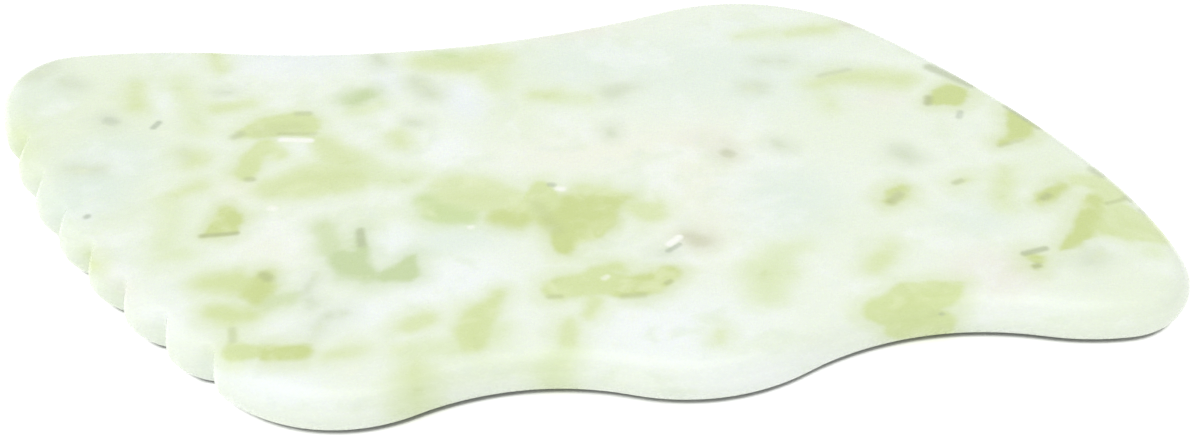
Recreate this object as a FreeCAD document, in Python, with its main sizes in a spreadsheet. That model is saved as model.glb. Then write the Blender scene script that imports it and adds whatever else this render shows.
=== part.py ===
import FreeCAD, Part
import math
import os
from collections import namedtuple
import Sketcher

# A gua sha scraper: one flat plate of polished stone with a lobed outline, rounded over all round,
# and a comb of small teeth ground into one end. It is a single solid and nothing on it moves.
#
# X runs along the plate from the comb end to the horn end, Y from the lobed front edge to the
# hollow back edge, Z up. The origin is the middle of the plate's box, on the face it lies on.
#
# The outline is a closed chain of arcs, each tangent to the next. Five of them, the heel, the comb
# lobe, the middle lobe, the horn and the hip, are set out from the box. Broader shoulders run on
# from the heel and the horn, and the other arcs bridge what is left between them.

# Name, millimetres, what it measures
driving_sizes = [
    ("board_length", 110, "over all, comb end to horn end"),
    ("board_width", 61.7, "over all, middle lobe to heel"),
    ("board_thickness", 5, "between the two faces"),
    ("edge_land", 0.2, "upright strip left between the two rounded edges"),
    ("heel_radius", 7.2, "corner at the comb end, back"),
    ("heel_back_radius", 65, "shoulder from the heel along the back edge"),
    ("heel_comb_radius", 26, "shoulder from the heel down to the comb"),
    ("comb_radius", 93.5, "comb edge, over the tips of the teeth"),
    ("comb_lobe_radius", 14.5, "corner at the comb end, front"),
    ("comb_lobe_inset", 32.9, "comb end of the box to the middle of the comb lobe"),
    ("comb_lobe_rise", 1.25, "front of the box to the comb lobe"),
    ("comb_valley_radius", 23.8, "front hollow between the comb lobe and the middle lobe"),
    ("middle_lobe_radius", 19, "front lobe, which touches the front of the box"),
    ("middle_lobe_offset", 9.2, "middle of the box to the middle of the front lobe"),
    ("horn_valley_radius", 27, "front hollow between the middle lobe and the horn"),
    ("horn_front_radius", 22.5, "shoulder from the horn along the front edge"),
    ("horn_radius", 7.2, "tip of the horn"),
    ("horn_rise", 1.8, "front of the box to the horn"),
    ("horn_side_radius", 45, "shoulder from the horn up the end"),
    ("end_slope_radius", 108, "long slanted end edge, slightly bowed"),
    ("hip_radius", 20.8, "corner between the slanted end and the back edge"),
    ("hip_inset", 34.5, "horn end of the box to the middle of the hip"),
    ("hip_drop", 0.7, "back of the box to the hip"),
    ("back_hollow_radius", 90, "long hollow in the back edge"),
    ("notch_pitch", 6.8, "notch to notch, along the comb edge"),
    ("notch_depth", 1.75, "comb edge to the bottom of a notch"),
    ("notch_width", 6.1, "mouth of a notch, which leaves the tip of a tooth between two mouths"),
    ("notch_root_radius", 0.6, "round bottom of a notch"),
    ("notch_flank_radius", 3.7, "round side of a notch, swelling into it"),
    ("notch_lip_radius", 0.6, "softened edge round a notch"),
    ("notch_end_gap", 2.5, "least distance from the ends of the comb edge to a notch"),
    ("cutter_overrun", 1, "notch cutter past the comb edge, and past each face"),
]

# Where the centres of the five corners lie, along X and Y: each a sum of sizes times a factor
corner_places = {
    "heel": (
        {"board_length": -0.5, "heel_radius": 1},
        {"board_width": 0.5, "heel_radius": -1},
    ),
    "comb_lobe": (
        {"board_length": -0.5, "comb_lobe_inset": 1},
        {"board_width": -0.5, "comb_lobe_rise": 1, "comb_lobe_radius": 1},
    ),
    "middle_lobe": (
        {"middle_lobe_offset": 1},
        {"board_width": -0.5, "middle_lobe_radius": 1},
    ),
    "horn": (
        {"board_length": 0.5, "horn_radius": -1},
        {"board_width": -0.5, "horn_rise": 1, "horn_radius": 1},
    ),
    "hip": (
        {"board_length": 0.5, "hip_inset": -1},
        {"board_width": 0.5, "hip_drop": -1, "hip_radius": -1},
    ),
}

# The broader shoulders: the corner each runs on from, and the side of it where they touch
shoulders = {
    "heel_back": ("heel", (0, 1)),
    "heel_comb": ("heel", (-1, 0)),
    "horn_front": ("horn", (0, -1)),
    "horn_side": ("horn", (1, 0)),
}

# The outline anticlockwise: each arc, and whether it is a hollow
outline_chain = [
    ("comb", False),
    ("comb_lobe", False),
    ("comb_valley", True),
    ("middle_lobe", False),
    ("horn_valley", True),
    ("horn_front", False),
    ("horn", False),
    ("horn_side", False),
    ("end_slope", False),
    ("hip", False),
    ("back_hollow", True),
    ("heel_back", False),
    ("heel", False),
    ("heel_comb", False),
]

Circle = namedtuple("Circle", "centre radius")
up = FreeCAD.Vector(0, 0, 1)
tolerance = 1e-6

# How a sketch numbers its own origin and axis, and the points of an arc or a line
origin_point = (-1, 1)
x_axis = -1
start, end, middle = range(1, 4)


def add_sizes(document):
    """The sheet of driving sizes, one row each: the name, the number, what it measures."""
    sheet = document.addObject("Spreadsheet::Sheet", "sizes")
    for row, (name, value, meaning) in enumerate(driving_sizes, start=1):
        sheet.set(f"A{row}", name)
        sheet.set(f"B{row}", str(value))
        sheet.set(f"C{row}", meaning)
        sheet.setAlias(f"B{row}", name)
    document.recompute()
    return sheet


def amount(terms):
    """What a sum of sizes times factors comes to."""
    return sum(factor * size[name] for name, factor in terms.items())


def formula(terms):
    """The same sum as an expression in the sheet's names."""
    return " + ".join(f"{factor} * sizes.{name}" for name, factor in terms.items())


def constrain(sketch, name, terms, kind, *where):
    """A named dimension of a sketch that follows a sum of sizes in the sheet."""
    index = sketch.addConstraint(Sketcher.Constraint(kind, *where, amount(terms)))
    sketch.renameConstraint(index, name)
    sketch.setExpression(f"Constraints.{name}", formula(terms))


def measure(sketch, name, value, kind, *where):
    """A named measurement of a sketch, which drives nothing in it."""
    index = sketch.addConstraint(Sketcher.Constraint(kind, *where, value))
    sketch.setDriving(index, False)
    sketch.renameConstraint(index, name)


def add_sketch(body, label):
    """A sketch in the plane that the plate lies on."""
    sketch = body.newObject("Sketcher::SketchObject", label)
    plane = next(feature for feature in body.Origin.OriginFeatures if feature.Role == "XY_Plane")
    sketch.AttachmentSupport = [(plane, "")]
    sketch.MapMode = "FlatFace"
    return sketch


def add_arc(sketch, circle, from_angle, to_angle):
    """An arc drawn anticlockwise from one direction to another."""
    if to_angle < from_angle:
        to_angle += 2 * math.pi
    shape = Part.ArcOfCircle(Part.Circle(circle.centre, up, circle.radius), from_angle, to_angle)
    return sketch.addGeometry(shape, False)


def bearing(centre, point):
    """The direction from a centre to a point, in radians."""
    return math.atan2(point.y - centre.y, point.x - centre.x)


def apex(first, first_reach, second, second_reach, side):
    """The point at given distances from two others, on the left (side 1) or the right (side -1) of
    the way from the first to the second."""
    span = second - first
    ahead = FreeCAD.Vector(span).normalize()
    leftward = FreeCAD.Vector(-ahead.y, ahead.x, 0)
    along = (first_reach**2 - second_reach**2 + span.Length**2) / (2 * span.Length)
    return first + ahead * along + leftward * (side * math.sqrt(first_reach**2 - along**2))


def bridge(first, second, radius, hollow):
    """The circle that touches two others on the way round the plate: a hollow has both of them
    outside it and its centre off the plate, on the right, and a swell has both of them inside it."""
    sign = 1 if hollow else -1
    reaches = [radius + sign * circle.radius for circle in (first, second)]
    return Circle(apex(first.centre, reaches[0], second.centre, reaches[1], -sign), radius)


def meeting_point(one, other, hollow):
    """Where two circles of the chain touch: between their centres if one is a hollow, otherwise on
    the smaller one, on the side away from the larger one's centre."""
    small, large = sorted([one, other], key=lambda circle: circle.radius)
    direction = (large.centre - small.centre).normalize()
    return small.centre + direction * (small.radius if hollow else -small.radius)


def outline_circles():
    """The circle of each arc of the outline, by name: corners, then shoulders, then bridges."""
    circles = {}
    for name, (x_terms, y_terms) in corner_places.items():
        centre = FreeCAD.Vector(amount(x_terms), amount(y_terms), 0)
        circles[name] = Circle(centre, size[f"{name}_radius"])
    for name, (corner, side) in shoulders.items():
        radius = size[f"{name}_radius"]
        shift = FreeCAD.Vector(*side, 0) * (circles[corner].radius - radius)
        circles[name] = Circle(circles[corner].centre + shift, radius)
    for k, (name, hollow) in enumerate(outline_chain):
        if name not in circles:
            before, after = outline_chain[k - 1][0], outline_chain[k + 1][0]
            circles[name] = bridge(circles[before], circles[after], size[f"{name}_radius"], hollow)
    return circles


def add_outline(body):
    """The outline of the plate. The arcs are drawn where the sizes put them, and the dimensions,
    bound to the sheet, hold them there."""
    sketch = add_sketch(body, "outline")
    circles = outline_circles()
    following = outline_chain[1:] + outline_chain[:1]
    joints = [
        meeting_point(circles[name], circles[next_name], hollow or next_hollow)
        for (name, hollow), (next_name, next_hollow) in zip(outline_chain, following)
    ]

    number = {}
    for k, (name, hollow) in enumerate(outline_chain):
        ends = [bearing(circles[name].centre, joint) for joint in (joints[k - 1], joints[k])]
        if hollow:
            ends.reverse()
        number[name] = add_arc(sketch, circles[name], *ends)

    for (name, hollow), (next_name, next_hollow) in zip(outline_chain, following):
        leaving = start if hollow else end
        entering = end if next_hollow else start
        joint = Sketcher.Constraint("Tangent", number[name], leaving, number[next_name], entering)
        sketch.addConstraint(joint)
        constrain(sketch, f"{name}_radius", {f"{name}_radius": 1}, "Radius", number[name])
    for name, (x_terms, y_terms) in corner_places.items():
        constrain(sketch, f"{name}_x", x_terms, "DistanceX", *origin_point, number[name], middle)
        constrain(sketch, f"{name}_y", y_terms, "DistanceY", *origin_point, number[name], middle)
    for name, (corner, side) in shoulders.items():
        kind = "Vertical" if side[0] == 0 else "Horizontal"
        sketch.addConstraint(Sketcher.Constraint(kind, number[corner], middle, number[name], middle))

    measure_comb(sketch, number["comb"], circles["comb"])
    return sketch


def measure_comb(sketch, comb, circle):
    """The measurements that the notches are set out from: the centre of the comb edge, the angle it
    spans, and the bearing of a line from its centre to its midpoint."""
    edge = sketch.Geometry[comb]
    half_way = (edge.FirstParameter + edge.LastParameter) / 2
    tip = circle.centre + FreeCAD.Vector(math.cos(half_way), math.sin(half_way), 0) * circle.radius
    bisector = sketch.addGeometry(Part.LineSegment(circle.centre, tip), True)
    sketch.addConstraint(Sketcher.Constraint("Coincident", bisector, start, comb, middle))
    sketch.addConstraint(Sketcher.Constraint("PointOnObject", bisector, end, comb))
    sketch.addConstraint(Sketcher.Constraint("Symmetric", comb, start, comb, end, bisector))
    measure(sketch, "comb_x", circle.centre.x, "DistanceX", *origin_point, comb, middle)
    measure(sketch, "comb_y", circle.centre.y, "DistanceY", *origin_point, comb, middle)
    measure(sketch, "comb_span", edge.LastParameter - edge.FirstParameter, "Angle", comb)
    measure(sketch, "comb_bearing", bearing(circle.centre, tip), "Angle", bisector)


def add_notch(body, step, steps):
    """The cutter of the first notch, seen from above with its axis along the sketch's X and the
    centre of the comb edge as its origin: a round root, two flanks that swell into the notch and
    end at its mouth, and straight sides out past the comb edge."""
    sketch = add_sketch(body, "notch")
    first_bearing = f"outline.Constraints.comb_bearing - {steps} / 2 * {step}"
    sketch.setExpression("AttachmentOffset.Base.x", "outline.Constraints.comb_x")
    sketch.setExpression("AttachmentOffset.Base.y", "outline.Constraints.comb_y")
    sketch.setExpression("AttachmentOffset.Rotation.Angle", first_bearing)

    root_terms = {"comb_radius": 1, "notch_depth": -1, "notch_root_radius": 1}
    open_terms = {"comb_radius": 1, "cutter_overrun": 1}
    mouth_x, half_width, open_x = size["comb_radius"], size["notch_width"] / 2, amount(open_terms)
    root = Circle(FreeCAD.Vector(amount(root_terms), 0, 0), size["notch_root_radius"])
    corners = [(mouth_x, half_width), (open_x, half_width), (open_x, -half_width), (mouth_x, -half_width)]
    corners = [FreeCAD.Vector(x, y, 0) for x, y in corners]
    swell = size["notch_flank_radius"]
    flank = apex(root.centre, root.radius + swell, corners[0], swell, 1)
    mirrored = FreeCAD.Vector(flank.x, -flank.y, 0)
    turn = bearing(root.centre, flank)
    mouth_turn = bearing(flank, corners[0])

    root_arc = add_arc(sketch, root, turn, -turn)
    flank_arc = add_arc(sketch, Circle(flank, swell), turn - math.pi, mouth_turn)
    other_arc = add_arc(sketch, Circle(mirrored, swell), -mouth_turn, math.pi - turn)
    side, outside, other_side = [
        sketch.addGeometry(Part.LineSegment(one, other), False) for one, other in zip(corners, corners[1:])
    ]

    for kind, *where in [
        ("Tangent", root_arc, start, flank_arc, start),
        ("Tangent", root_arc, end, other_arc, end),
        ("Coincident", flank_arc, end, side, start),
        ("Coincident", side, end, outside, start),
        ("Coincident", outside, end, other_side, start),
        ("Coincident", other_side, end, other_arc, start),
        ("Horizontal", side),
        ("Horizontal", other_side),
        ("Vertical", outside),
        ("PointOnObject", root_arc, middle, x_axis),
        ("Symmetric", flank_arc, end, other_arc, start, x_axis),
        ("Equal", flank_arc, other_arc),
    ]:
        sketch.addConstraint(Sketcher.Constraint(kind, *where))
    constrain(sketch, "root_x", root_terms, "DistanceX", *origin_point, root_arc, middle)
    constrain(sketch, "root_radius", {"notch_root_radius": 1}, "Radius", root_arc)
    constrain(sketch, "flank_radius", {"notch_flank_radius": 1}, "Radius", flank_arc)
    constrain(sketch, "mouth_x", {"comb_radius": 1}, "DistanceX", *origin_point, flank_arc, end)
    constrain(sketch, "mouth_width", {"notch_width": 1}, "Distance", outside)
    constrain(sketch, "open_x", open_terms, "DistanceX", *origin_point, side, end)
    return sketch


def rim_edges(shape):
    """The names of a blank's edges that lie flat in one of its faces."""
    return [f"Edge{k}" for k, edge in enumerate(shape.Edges, start=1) if edge.BoundBox.ZLength < tolerance]


def lip_edges(shape):
    """The names of the edges where the upright walls of the notches meet the rounded rim."""
    wall_radii = [size["notch_root_radius"], size["notch_flank_radius"]]
    walls = [
        face
        for face in shape.Faces
        if isinstance(face.Surface, Part.Cylinder)
        and min(abs(face.Surface.Radius - radius) for radius in wall_radii) < tolerance
    ]
    names = []
    for k, edge in enumerate(shape.Edges, start=1):
        beside = [wall for wall in walls if any(edge.isSame(border) for border in wall.Edges)]
        if len(beside) == 1:
            names.append(f"Edge{k}")
    return names


def add_fillet(body, label, base, names, terms):
    """Named edges of a feature, rounded to a radius that follows a sum of sizes."""
    fillet = body.newObject("PartDesign::Fillet", label)
    fillet.Base = (base, names)
    fillet.setExpression("Radius", formula(terms))
    body.Document.recompute()
    return fillet


def add_board(document):
    """The plate: the outline padded up from the face it lies on, both edges rounded over, the
    notches cut through the rounded edge in a row centred on the comb edge, and their lips softened."""
    body = document.addObject("PartDesign::Body", "board")
    body.Label = "scraper_board"
    outline = add_outline(body)

    blank = body.newObject("PartDesign::Pad", "blank")
    blank.Profile = outline
    blank.setExpression("Length", "sizes.board_thickness")
    document.recompute()
    rounding = {"board_thickness": 0.5, "edge_land": -0.5}
    rounded = add_fillet(body, "rounded_edges", blank, rim_edges(blank.Shape), rounding)

    # The angle from notch to notch, and how many such steps fit between the ends of the comb edge
    step = "(sizes.notch_pitch / sizes.comb_radius * 1 rad)"
    room = "(outline.Constraints.comb_span - 2 * sizes.notch_end_gap / sizes.comb_radius * 1 rad)"
    steps = f"floor({room} / {step})"
    notch = add_notch(body, step, steps)
    cut = body.newObject("PartDesign::Pocket", "notch_cut")
    cut.Profile = notch
    cut.SideType = "Symmetric"
    cut.setExpression("Length", "2 * (sizes.board_thickness + sizes.cutter_overrun)")
    document.recompute()

    comb = body.newObject("PartDesign::PolarPattern", "comb")
    comb.Originals = [cut]
    comb.Axis = (notch, ["N_Axis"])
    comb.Mode = "Spacing"
    comb.setExpression("Offset", step)
    comb.setExpression("Occurrences", f"{steps} + 1")
    body.Tip = comb
    document.recompute()

    lips = add_fillet(body, "notch_lips", comb, lip_edges(comb.Shape), {"notch_lip_radius": 1})
    body.Tip = lips
    body.Placement = FreeCAD.Placement()
    document.recompute()

    for before, after in [(blank, rounded), (rounded, cut), (cut, comb)]:
        if after.Shape.Volume >= before.Shape.Volume:
            raise RuntimeError(f"{after.Label} takes nothing off {before.Label}")
    return body


def check(document, bodies):
    """Stops if any object failed to compute, or a finished body isn't one sound solid."""
    for thing in document.Objects:
        if "Invalid" in thing.State or "Error" in thing.State:
            raise RuntimeError(f"{thing.Label} failed: {thing.State}")
    for body in bodies:
        if body.Shape.isNull() or not body.Shape.isValid() or len(body.Shape.Solids) != 1:
            raise RuntimeError(f"{body.Label} is not one sound solid")


document = FreeCAD.newDocument("gua_sha_scraper")
sheet = add_sizes(document)
size = {name: float(sheet.get(name)) for name, value, meaning in driving_sizes}
bodies = [add_board(document)]
check(document, bodies)

os.makedirs("parts", exist_ok=True)
for body in bodies:
    body.Shape.exportStep(f"parts/{body.Label}.step")
    print(body.Label, round(body.Shape.Volume), "cubic millimetres")
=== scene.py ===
import bpy
import math
import numpy as np
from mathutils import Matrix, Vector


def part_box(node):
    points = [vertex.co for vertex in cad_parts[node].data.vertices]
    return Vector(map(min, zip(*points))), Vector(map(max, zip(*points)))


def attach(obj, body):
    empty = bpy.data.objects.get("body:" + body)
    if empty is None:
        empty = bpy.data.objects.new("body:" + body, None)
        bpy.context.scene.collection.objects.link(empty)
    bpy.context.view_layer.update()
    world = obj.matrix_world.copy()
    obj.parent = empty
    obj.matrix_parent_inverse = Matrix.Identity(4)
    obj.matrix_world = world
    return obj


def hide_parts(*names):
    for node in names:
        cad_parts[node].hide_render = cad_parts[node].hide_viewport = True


# A gua sha scraper of polished stone, lying on a white table. One piece, dressed over the CAD plate.

mm = 0.001
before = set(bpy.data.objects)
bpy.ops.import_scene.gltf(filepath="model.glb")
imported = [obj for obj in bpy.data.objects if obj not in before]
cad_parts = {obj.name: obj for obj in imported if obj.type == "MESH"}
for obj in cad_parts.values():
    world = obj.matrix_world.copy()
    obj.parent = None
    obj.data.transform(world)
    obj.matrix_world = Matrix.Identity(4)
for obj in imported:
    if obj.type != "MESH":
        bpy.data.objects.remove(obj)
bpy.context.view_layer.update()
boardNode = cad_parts["scraper_board"]
boardLow, boardHigh = [np.array(corner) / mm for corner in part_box("scraper_board")]
print("frame loaded, board", np.round(boardHigh - boardLow, 2), "mm")

# ---- camera

cameraPlace = {
    "azimuth": -9.53,  # degrees round the board, 0 looks along +Y
    "elevation": 37.0,
    "distance": 196.35,  # mm from the point looked at
    "aim": (3.27, -1.94, 0.0),  # mm, from the middle of the board's lower face
    "lens": 60.0,
    "sensor": 36.0,
}


def viewDirection():
    # from the board to the camera: azimuth turns about Z from -Y, elevation lifts off the table
    azimuth, elevation = math.radians(cameraPlace["azimuth"]), math.radians(cameraPlace["elevation"])
    level = math.cos(elevation)
    return np.array([math.sin(azimuth) * level, -math.cos(azimuth) * level, math.sin(elevation)])


def makeCamera():
    # the camera sits at the aim point plus the distance along the view direction
    data = bpy.data.cameras.new("camera")
    data.lens = cameraPlace["lens"]
    data.sensor_width = cameraPlace["sensor"]
    data.clip_start = 0.01
    camera = bpy.data.objects.new("camera", data)
    camera.location = (np.array(cameraPlace["aim"]) + viewDirection() * cameraPlace["distance"]) * mm
    tilt = math.radians(90 - cameraPlace["elevation"])
    camera.rotation_euler = (tilt, 0, math.radians(cameraPlace["azimuth"]))
    bpy.context.collection.objects.link(camera)
    bpy.context.scene.camera = camera


makeCamera()
print("camera placed")

# ---- the board's surface

boardShape = {
    "columns": 1160,  # points round the rim, half of them on each side of the board
    "combCrowding": 3.0,  # how many more columns stand along the comb
    "rimRows": 12,  # from the edge of a face to the middle of the rim
    "upperRings": 36,  # from the edge of the upper face to its spine
    "lowerRings": 14,
    "spineInset": 27.0,  # mm from the ends of the board to the ends of the spine
    "spineTilt": 8.0,  # mm that the spine's horn end is nearer the front
    "crown": 0.08,  # mm that a face falls from its spine to its edge
    "undulation": 0.02,  # mm, hand polishing
    "undulationLength": 17.0,  # mm
    "facetSlack": 0.04,  # mm by which a flat facet of the CAD mesh may cut a round edge
    "notchWear": 0.14,  # mm over which the corners of a notch are worn round
    "notchWall": 1.6,  # how much squarer the rim stands where a notch is cut
    "grooveFall": 0.10,  # mm that the face dips where a notch runs out on it
    "grooveRun": 1.5,  # mm that the dip reaches in from the edge of the face
}


def nodeTriangles():
    # the CAD mesh as an array of triangles, corner by corner, in mm
    mesh = boardNode.data
    mesh.calc_loop_triangles()
    points = np.empty(len(mesh.vertices) * 3)
    mesh.vertices.foreach_get("co", points)
    corners = np.empty(len(mesh.loop_triangles) * 3, dtype=int)
    mesh.loop_triangles.foreach_get("vertices", corners)
    return points.reshape(-1, 3)[corners.reshape(-1, 3)] / mm


def faceCorners(triangles):
    # the corners of the flat upper face: the highest points, each once, in order of bearing from their middle
    points = triangles.reshape(-1, 3)
    points = np.unique(np.round(points[points[:, 2] > boardHigh[2] - 1e-4, :2], 4), axis=0)
    offset = points - points.mean(axis=0)
    return points[np.argsort(np.arctan2(offset[:, 1], offset[:, 0]))]


def midSection(triangles):
    # where the triangles cross mid-height: on each edge whose ends lie on either side of it, the point
    # that divides the edge in proportion to their heights, two to a triangle
    height = triangles[:, :, 2] - (boardLow[2] + boardHigh[2]) / 2
    drop = height - np.roll(height, -1, axis=1)
    crossing = height * (height - drop) < 0
    share = np.where(crossing, height / np.where(crossing, drop, 1), 0)[..., None]
    points = triangles[:, :, :2] * (1 - share) + np.roll(triangles, -1, axis=1)[:, :, :2] * share
    return points[crossing].reshape(-1, 2, 2)


def splineLoop(points, stations):
    # a closed cubic spline by distance along its chords: on each span, the two ends weighted by nearness,
    # plus the cubic terms of the second derivatives there, which are solved so that the slopes match
    span = np.linalg.norm(np.roll(points, -1, axis=0) - points, axis=1)
    slope = (np.roll(points, -1, axis=0) - points) / span[:, None]
    index = np.arange(len(points))
    following = (index + 1) % len(points)
    system = np.diag(2 * (np.roll(span, 1) + span))
    system[index, following] += span
    system[following, index] += span
    bend = np.linalg.solve(system, 6 * (slope - np.roll(slope, 1, axis=0)))
    starts = np.concatenate([[0], np.cumsum(span)])
    along = (stations % 1) * starts[-1]
    here = np.clip(np.searchsorted(starts, along, side="right") - 1, 0, len(points) - 1)
    ahead = following[here]
    width = span[here][:, None]
    past = (along - starts[here])[:, None]
    left = width - past
    cubic = (bend[here] * left**3 + bend[ahead] * past**3) / (6 * width)
    return (
        cubic
        + (points[here] / width - bend[here] * width / 6) * left
        + (points[ahead] / width - bend[ahead] * width / 6) * past
    )


def outwardFrom(loop):
    # unit vectors a quarter turn clockwise from the chord between a point's two neighbours
    chord = np.roll(loop, -1, axis=0) - np.roll(loop, 1, axis=0)
    side = np.stack([chord[:, 1], -chord[:, 0]], axis=1)
    return side / np.linalg.norm(side, axis=1)[:, None]


def crossProduct(a, b):
    return a[..., 0] * b[..., 1] - a[..., 1] * b[..., 0]


def reachTo(loop, outward, segments):
    # the distance from each point of the loop, along its outward direction, to the nearest segment
    start, run = segments[None, :, 0], segments[None, :, 1] - segments[None, :, 0]
    offset, ray = start - loop[:, None], outward[:, None]
    slant = crossProduct(ray, run)
    slant = np.where(np.abs(slant) < 1e-9, 1e-9, slant)
    distance, place = crossProduct(offset, run) / slant, crossProduct(offset, ray) / slant
    hit = (distance > 0) & (place > -1e-6) & (place < 1 + 1e-6)
    return np.where(hit, distance, np.inf).min(axis=1)


def distanceRound(loop):
    # how far along the loop each point lies, and the step from it to the next
    step = np.linalg.norm(np.roll(loop, -1, axis=0) - loop, axis=1)
    return np.cumsum(step) - step, step


def wornRound(values, along, wear):
    # a mean round the loop, weighted by a bell curve of the given width in mm
    total = along[-1] + along[1]
    gap = np.abs(along[:, None] - along[None, :])
    weight = np.exp(-0.5 * (np.minimum(gap, total - gap) / wear) ** 2)
    return weight @ values / weight.sum(axis=1)


def spineEnds():
    # the spine runs along the board's long middle, tilted towards the horn
    inset, tilt = boardShape["spineInset"], boardShape["spineTilt"]
    return np.array([(boardLow[0] + inset, tilt / 2), (boardHigh[0] - inset, -tilt / 2)])


def rimColumns(corners, section):
    # stations round the loop, from where the spine's line meets it at the comb, by the front edge, to where
    # it does at the horn end, and back: on each side as many columns, spaced evenly by distance, with the
    # comb counted several times over
    fine = np.arange(6000) / 6000
    loop = splineLoop(corners, fine)
    first, last = spineEnds()
    above = crossProduct(last - first, loop - first) > 0
    turns = np.flatnonzero(above != np.roll(above, -1))
    comb, horn = turns[np.argsort(loop[turns, 0])]
    fine = fine + fine[comb]
    horn = (horn - comb) % len(fine)
    loop = splineLoop(corners, fine)
    reach = reachTo(loop, outwardFrom(loop), section)
    along, step = distanceRound(loop)
    inComb = wornRound((reach < np.median(reach) - boardShape["facetSlack"]).astype(float), along, 2.0)
    crowd = step * (1 + boardShape["combCrowding"] * np.clip(4 * inComb, 0, 1))
    count = np.concatenate([[0], np.cumsum(crowd)])
    fine = np.append(fine, fine[0] + 1)
    half = np.arange(boardShape["columns"] // 2) / (boardShape["columns"] // 2)
    front = np.interp(half * count[horn], count, fine)
    back = np.interp(count[horn] + half * (count[-1] - count[horn]), count, fine)
    return np.concatenate([front, back])


def boardSurface():
    # Rows run from the upper spine over the face, round the rim and over the lower face to the lower spine,
    # columns run round the board. On the rim a point is the loop plus outward * reach * c, and mid-height
    # plus half-height * s, where c and s are the two axes of a superellipse: sin and cos of the row's angle,
    # each to the power 2 / n. n is 2, a round edge, and more where a notch cuts it short.
    triangles = nodeTriangles()
    corners, section = faceCorners(triangles), midSection(triangles)
    loop = splineLoop(corners, rimColumns(corners, section))
    outward = outwardFrom(loop)
    along, _ = distanceRound(loop)
    reach = reachTo(loop, outward, section)
    full = np.median(reach)
    reach = np.where(reach > full - boardShape["facetSlack"], full, reach)
    reach = wornRound(reach, along, boardShape["notchWear"])
    cut = np.clip(1 - reach / full, 0, 1)

    middle, half = (boardLow[2] + boardHigh[2]) / 2, (boardHigh[2] - boardLow[2]) / 2
    angle = np.linspace(0, np.pi, 2 * boardShape["rimRows"] + 1)[:, None]
    power = 2 / (2 + boardShape["notchWall"] * cut)
    out = np.sin(angle) ** power
    rise = np.sign(np.cos(angle)) * np.abs(np.cos(angle)) ** power
    rim = np.empty(out.shape + (3,))
    rim[..., :2] = loop + outward * (reach * out)[..., None]
    rim[..., 2] = middle + rise * half

    # Column k and column -k end on one point of the spine, as far along it as they are on average along
    # their own sides.
    count = boardShape["columns"]
    side = count // 2
    sideShare = np.concatenate([
        along[:side] / along[side],
        (along[side:] - along[side]) / (along[0] + along[-1] + along[1] - along[side]),
    ])
    sideShare[side:] = 1 - sideShare[side:]
    share = (sideShare + sideShare[-np.arange(count)]) / 2
    first, last = spineEnds()
    spine = first + (last - first) * share[:, None]

    def face(rings):
        # a ring is the loop and the spine mixed; the innermost ring is the spine itself
        mix = (np.arange(1, rings + 1) / rings)[:, None, None]
        flat = loop * (1 - mix) + spine * mix
        return np.concatenate([flat, np.full(flat.shape[:2] + (1,), middle)], axis=2)

    upper, lower = face(boardShape["upperRings"])[::-1], face(boardShape["lowerRings"])
    upper[..., 2] += half
    lower[..., 2] -= half
    grid = np.concatenate([upper, rim, lower])

    # fall of the crown, the grooves' run-out and the undulation, all measured towards mid-height
    inward = np.concatenate([
        np.arange(boardShape["upperRings"], 0, -1) / boardShape["upperRings"],
        np.zeros(len(rim)),
        np.arange(1, boardShape["lowerRings"] + 1) / boardShape["lowerRings"],
    ])[:, None]
    fromEdge = inward * np.linalg.norm(loop - spine, axis=1)
    fall = boardShape["crown"] * (1 - inward) ** 2
    nearEdge = np.exp(-((fromEdge / boardShape["grooveRun"]) ** 2))
    fall = fall + boardShape["grooveFall"] * np.sqrt(cut) * nearEdge
    wave = 2 * np.pi / boardShape["undulationLength"]
    x, y = grid[..., 0], grid[..., 1]
    ripple = np.sin(wave * (x + 0.4 * y)) + np.sin(wave * (0.7 * y - 0.5 * x) + 1.3)
    fall = fall + boardShape["undulation"] * (1 + ripple / 2)
    grid[..., 2] -= fall * (grid[..., 2] - middle) / half
    return np.clip(grid, boardLow, boardHigh)


def closedMesh(name, grid):
    # the grid's rows become rings of quads; the first and last rows are folded onto their spines, where
    # column k and column -k are one vertex
    rows, count = grid.shape[:2]
    folded = np.minimum(np.arange(count), count - np.arange(count))
    spineSize = count // 2 + 1
    inner = spineSize + np.arange((rows - 2) * count).reshape(rows - 2, count)
    last = spineSize + (rows - 2) * count
    ids = np.concatenate([folded[None], inner, folded[None] + last])
    points = np.concatenate([
        grid[0, :spineSize],
        grid[1:-1].reshape(-1, 3),
        grid[-1, :spineSize],
    ])
    after = np.roll(ids, -1, axis=1)
    quads = np.stack([ids[:-1], ids[1:], after[1:], after[:-1]], axis=-1)
    quads = quads.reshape(-1, 4)
    mesh = bpy.data.meshes.new(name)
    mesh.vertices.add(len(points))
    mesh.vertices.foreach_set("co", (points * mm).ravel())
    mesh.loops.add(quads.size)
    mesh.loops.foreach_set("vertex_index", quads.ravel())
    mesh.polygons.add(len(quads))
    mesh.polygons.foreach_set("loop_start", np.arange(len(quads)) * 4)
    mesh.polygons.foreach_set("use_smooth", np.ones(len(quads), dtype=bool))
    mesh.update(calc_edges=True)
    mesh.validate()
    piece = bpy.data.objects.new(name, mesh)
    bpy.context.collection.objects.link(piece)
    return piece, points


# ---- minerals in the stone

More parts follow.
